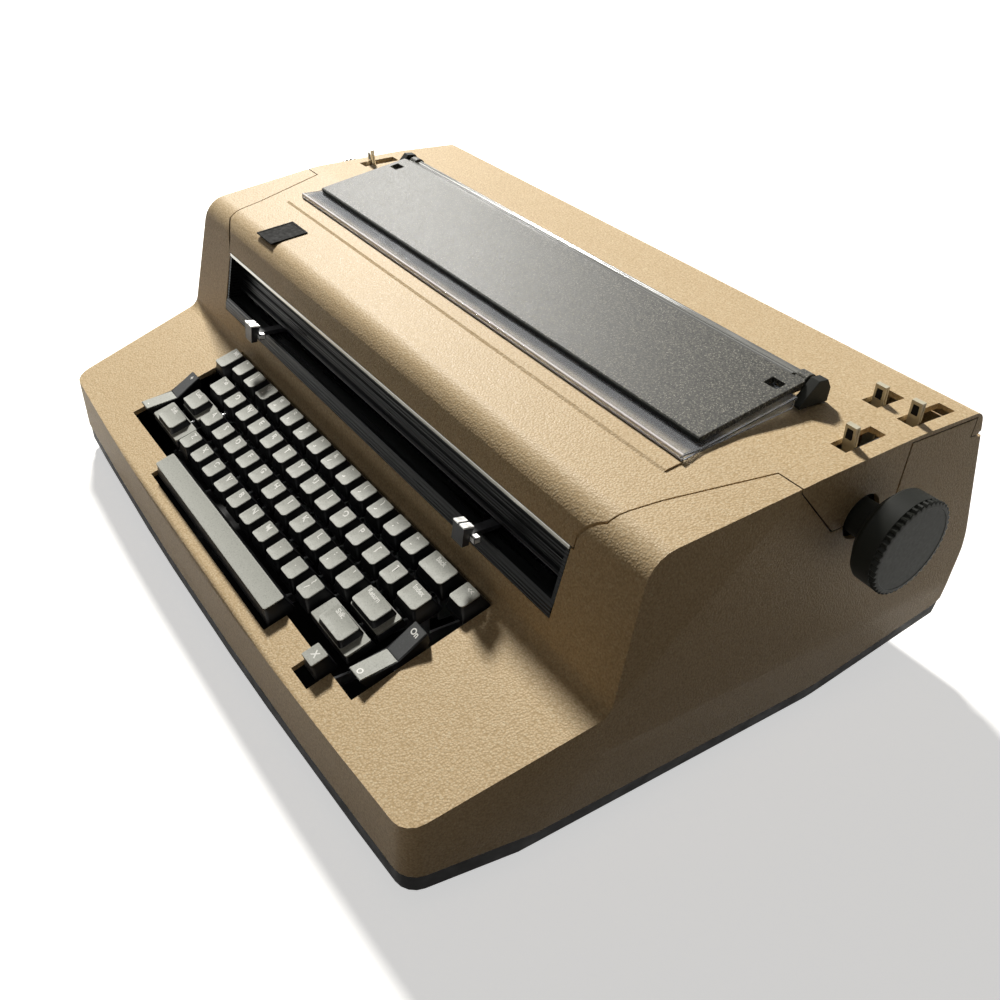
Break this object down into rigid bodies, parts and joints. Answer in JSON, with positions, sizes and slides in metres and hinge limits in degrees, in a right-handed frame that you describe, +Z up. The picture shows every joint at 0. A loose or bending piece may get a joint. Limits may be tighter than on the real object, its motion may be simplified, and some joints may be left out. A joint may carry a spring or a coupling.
{
  "type": "electric typewriter",
  "caption": "Wide-carriage office electric typewriter with a beige casing, lifting cover, clear platen shield, working keys, type element and platen.",
  "frame": {"origin": "centre of the bounding box's bottom face, on the table under the feet", "axes": "+X to the typist's right, +Y to the rear, +Z up"},
  "size_m": [0.557, 0.3658, 0.1898],
  "materials": {
    "casing": "pebble textured beige paint",
    "pan": "matt black enamel",
    "rubber": "moulded black rubber",
    "black_plastic": "moulded black plastic",
    "key_black": "glossy black keycap with a speckled light top",
    "key_grey": "speckled light grey plastic",
    "plate_dark": "dark grey metallic paint",
    "clear": "clear acrylic",
    "trim": "brushed",
    "steel": "zinc plated",
    "bright_steel": "ground and polished",
    "cream": "cream plastic finger tip",
    "grey_cast": "grey casting",
    "type_metal": "nickel plated plastic"
  },
  "bodies": {
    "case": {"bottom_pan": "pan", "rubber_feet": "rubber", "lower_case": "casing", "case_screws": "steel", "margin_bezel": "black_plastic", "power_inlet": "black_plastic", "machine_frame": "steel", "cover_hinge_pins": "bright_steel", "paper_deflector": "steel", "margin_rack": "steel", "carrier_rails": "bright_steel", "motor": "grey_cast", "drive_belt": "rubber", "lever_comb": "steel", "fulcrum_rod": "bright_steel"},
    "cover": {"top_cover": "casing", "cover_trim": "trim", "badge_plate": "plate_dark", "cover_end_caps": "black_plastic"},
    "platen_cover": {"platen_cover_plate": "plate_dark", "clear_shield": "clear"},
    "platen_roll": {"platen": "rubber", "platen_shaft": "bright_steel", "platen_knobs": "black_plastic"},
    "front_feed": {"front_feed_rollers": "rubber"},
    "rear_feed": {"rear_feed_rollers": "rubber"},
    "bail": {"paper_bail": "bright_steel"},
    "paper_release": {"paper_release_lever": "cream"},
    "line_space": {"line_space_lever": "cream"},
    "copy_control": {"copy_control_lever": "cream"},
    "platen_release": {"platen_release_lever": "bright_steel"},
    "left_margin": {"left_margin_lever": "black_plastic"},
    "right_margin": {"right_margin_lever": "black_plastic"},
    "carriage": {"carrier": "steel", "ribbon_cartridge": "black_plastic"},
    "type_ball": {"type_element": "type_metal"},
    "cycle_shaft": {"operational_shaft": "steel"},
    "motor_drive": {"motor_pulley": "steel"},
    "number_keys_left": {"number_keys_left": "key_black"},
    "number_keys_right": {"number_keys_right": "key_black"},
    "top_letters_left": {"top_letters_left": "key_black"},
    "top_letters_right": {"top_letters_right": "key_black"},
    "home_letters_left": {"home_letters_left": "key_black"},
    "home_letters_right": {"home_letters_right": "key_black"},
    "bottom_letters_left": {"bottom_letters_left": "key_black"},
    "bottom_letters_right": {"bottom_letters_right": "key_black"},
    "left_shift_key": {"left_shift_key": "key_black"},
    "right_shift_key": {"right_shift_key": "key_black"},
    "lock_key": {"lock_key": "key_black"},
    "return_key": {"return_key": "key_black"},
    "tab_key": {"tab_key": "key_black"},
    "index_key": {"index_key": "key_black"},
    "margin_release_key": {"margin_release_key": "key_black"},
    "backspace_key": {"backspace_key": "key_black"},
    "express_key": {"express_key": "key_black"},
    "correct_key": {"correct_key": "key_black"},
    "space_bar": {"space_bar": "key_grey"},
    "power_rocker": {"power_rocker": "key_grey"},
    "tab_rocker": {"tab_rocker": "key_grey"}
  },
  "joints": [
    {"name": "cover_hinge", "type": "hinge", "parent": "case", "child": "cover", "pos_m": [0, 0.15102, 0.1634], "axis": [-1, 0, 0], "range_deg": [0, 55]},
    {"name": "platen_cover_hinge", "type": "hinge", "parent": "cover", "child": "platen_cover", "pos_m": [0, 0.077, 0.18405], "axis": [-1, 0, 0], "range_deg": [0, 100]},
    {"name": "platen_turn", "type": "hinge", "parent": "case", "child": "platen_roll", "pos_m": [0, 0.0684, 0.141], "axis": [1, 0, 0], "continuous": true},
    {"name": "front_feed_turn", "type": "hinge", "parent": "case", "child": "front_feed", "pos_m": [0, 0.05418, 0.12069], "axis": [1, 0, 0], "continuous": true},
    {"name": "rear_feed_turn", "type": "hinge", "parent": "case", "child": "rear_feed", "pos_m": [0, 0.08262, 0.12069], "axis": [1, 0, 0], "continuous": true},
    {"name": "paper_bail_lift", "type": "hinge", "parent": "case", "child": "bail", "pos_m": [0, 0.088, 0.15], "axis": [-1, 0, 0], "range_deg": [0, 12]},
    {"name": "paper_release", "type": "hinge", "parent": "case", "child": "paper_release", "pos_m": [0, 0.0684, 0.141], "axis": [-1, 0, 0], "range_deg": [0, 22]},
    {"name": "line_space_select", "type": "hinge", "parent": "case", "child": "line_space", "pos_m": [0, 0.112, 0.128], "axis": [-1, 0, 0], "range_deg": [0, 10]},
    {"name": "copy_control", "type": "hinge", "parent": "case", "child": "copy_control", "pos_m": [0, 0.112, 0.128], "axis": [-1, 0, 0], "range_deg": [0, 24]},
    {"name": "platen_release", "type": "hinge", "parent": "case", "child": "platen_release", "pos_m": [0, 0.0684, 0.141], "axis": [-1, 0, 0], "range_deg": [0, 22]},
    {"name": "left_margin_slide", "type": "slide", "parent": "case", "child": "left_margin", "axis": [1, 0, 0], "range_m": [-0.055, 0.11]},
    {"name": "right_margin_slide", "type": "slide", "parent": "case", "child": "right_margin", "axis": [1, 0, 0], "range_m": [-0.1, 0.045]},
    {"name": "carrier_slide", "type": "slide", "parent": "case", "child": "carriage", "axis": [1, 0, 0], "range_m": [-0.165, 0.165]},
    {"name": "type_ball_turn", "type": "hinge", "parent": "carriage", "child": "type_ball", "pos_m": [0, 0.0304, 0.141], "axis": [0, 0, 1], "range_deg": [-165, 165]},
    {"name": "cycle_shaft_turn", "type": "hinge", "parent": "case", "child": "cycle_shaft", "pos_m": [0, 0.06, 0.054], "axis": [1, 0, 0], "continuous": true},
    {"name": "motor_turn", "type": "hinge", "parent": "case", "child": "motor_drive", "pos_m": [0, 0.126, 0.06], "axis": [1, 0, 0], "continuous": true},
    {"name": "numbers_left_press", "type": "hinge", "parent": "case", "child": "number_keys_left", "pos_m": [0, 0.02, 0.057], "axis": [1, 0, 0], "range_deg": [0, 1.85], "stiffness_Nm_per_rad": 8.4, "springref_deg": -1.72},
    {"name": "numbers_right_press", "type": "hinge", "parent": "case", "child": "number_keys_right", "pos_m": [0, 0.02, 0.057], "axis": [1, 0, 0], "range_deg": [0, 1.85], "stiffness_Nm_per_rad": 7.2, "springref_deg": -1.72},
    {"name": "top_letters_left_press", "type": "hinge", "parent": "case", "child": "top_letters_left", "pos_m": [0, 0.02, 0.057], "axis": [1, 0, 0], "range_deg": [0, 1.6], "stiffness_Nm_per_rad": 6, "springref_deg": -1.72},
    {"name": "top_letters_right_press", "type": "hinge", "parent": "case", "child": "top_letters_right", "pos_m": [0, 0.02, 0.057], "axis": [1, 0, 0], "range_deg": [0, 1.6], "stiffness_Nm_per_rad": 8.4, "springref_deg": -1.72},
    {"name": "home_letters_left_press", "type": "hinge", "parent": "case", "child": "home_letters_left", "pos_m": [0, 0.02, 0.057], "axis": [1, 0, 0], "range_deg": [0, 1.4], "stiffness_Nm_per_rad": 6, "springref_deg": -1.72},
    {"name": "home_letters_right_press", "type": "hinge", "parent": "case", "child": "home_letters_right", "pos_m": [0, 0.02, 0.057], "axis": [1, 0, 0], "range_deg": [0, 1.4], "stiffness_Nm_per_rad": 7.2, "springref_deg": -1.72},
    {"name": "bottom_letters_left_press", "type": "hinge", "parent": "case", "child": "bottom_letters_left", "pos_m": [0, 0.02, 0.057], "axis": [1, 0, 0], "range_deg": [0, 1.25], "stiffness_Nm_per_rad": 6, "springref_deg": -1.72},
    {"name": "bottom_letters_right_press", "type": "hinge", "parent": "case", "child": "bottom_letters_right", "pos_m": [0, 0.02, 0.057], "axis": [1, 0, 0], "range_deg": [0, 1.25], "stiffness_Nm_per_rad": 6, "springref_deg": -1.72},
    {"name": "left_shift_press", "type": "hinge", "parent": "case", "child": "left_shift_key", "pos_m": [0, 0.02, 0.057], "axis": [1, 0, 0], "range_deg": [0, 1.25], "stiffness_Nm_per_rad": 2.4, "springref_deg": -1.72},
    {"name": "right_shift_press", "type": "hinge", "parent": "case", "child": "right_shift_key", "pos_m": [0, 0.02, 0.057], "axis": [1, 0, 0], "range_deg": [0, 1.25], "stiffness_Nm_per_rad": 2.4, "springref_deg": -1.72},
    {"name": "lock_press", "type": "hinge", "parent": "case", "child": "lock_key", "pos_m": [0, 0.02, 0.057], "axis": [1, 0, 0], "range_deg": [0, 1.4], "stiffness_Nm_per_rad": 2, "springref_deg": -1.72},
    {"name": "return_press", "type": "hinge", "parent": "case", "child": "return_key", "pos_m": [0, 0.02, 0.057], "axis": [1, 0, 0], "range_deg": [0, 1.4], "stiffness_Nm_per_rad": 2, "springref_deg": -1.72},
    {"name": "tab_press", "type": "hinge", "parent": "case", "child": "tab_key", "pos_m": [0, 0.02, 0.057], "axis": [1, 0, 0], "range_deg": [0, 1.6], "stiffness_Nm_per_rad": 2, "springref_deg": -1.72},
    {"name": "index_press", "type": "hinge", "parent": "case", "child": "index_key", "pos_m": [0, 0.02, 0.057], "axis": [1, 0, 0], "range_deg": [0, 1.6], "stiffness_Nm_per_rad": 2, "springref_deg": -1.72},
    {"name": "margin_release_press", "type": "hinge", "parent": "case", "child": "margin_release_key", "pos_m": [0, 0.02, 0.057], "axis": [1, 0, 0], "range_deg": [0, 1.85], "stiffness_Nm_per_rad": 2, "springref_deg": -1.72},
    {"name": "backspace_press", "type": "hinge", "parent": "case", "child": "backspace_key", "pos_m": [0, 0.02, 0.057], "axis": [1, 0, 0], "range_deg": [0, 1.85], "stiffness_Nm_per_rad": 2, "springref_deg": -1.72},
    {"name": "express_press", "type": "hinge", "parent": "case", "child": "express_key", "pos_m": [0, 0.02, 0.057], "axis": [1, 0, 0], "range_deg": [0, 1.85], "stiffness_Nm_per_rad": 2, "springref_deg": -1.72},
    {"name": "correct_press", "type": "hinge", "parent": "case", "child": "correct_key", "pos_m": [0, 0.02, 0.057], "axis": [1, 0, 0], "range_deg": [0, 1.1], "stiffness_Nm_per_rad": 2, "springref_deg": -1.72},
    {"name": "space_bar_press", "type": "hinge", "parent": "case", "child": "space_bar", "pos_m": [0, 0.02, 0.057], "axis": [1, 0, 0], "range_deg": [0, 1.1], "stiffness_Nm_per_rad": 2.4, "springref_deg": -1.72},
    {"name": "power_switch", "type": "hinge", "parent": "case", "child": "power_rocker", "pos_m": [0.151, -0.13218, 0.06296], "axis": [-1, 0, 0], "range_deg": [0, 7]},
    {"name": "tab_set_clear", "type": "hinge", "parent": "case", "child": "tab_rocker", "pos_m": [-0.1495, -0.13218, 0.06296], "axis": [1, 0, 0], "range_deg": [-3.5, 3.5], "stiffness_Nm_per_rad": 0.3}
  ],
  "couplings": [
    {"joint": "front_feed_turn", "follows": "platen_turn", "ratio": -3.0833},
    {"joint": "rear_feed_turn", "follows": "platen_turn", "ratio": -3.0833},
    {"joint": "motor_turn", "follows": "cycle_shaft_turn", "ratio": 2.6667},
    {"joint": "right_shift_press", "follows": "left_shift_press", "ratio": 1}
  ]
}
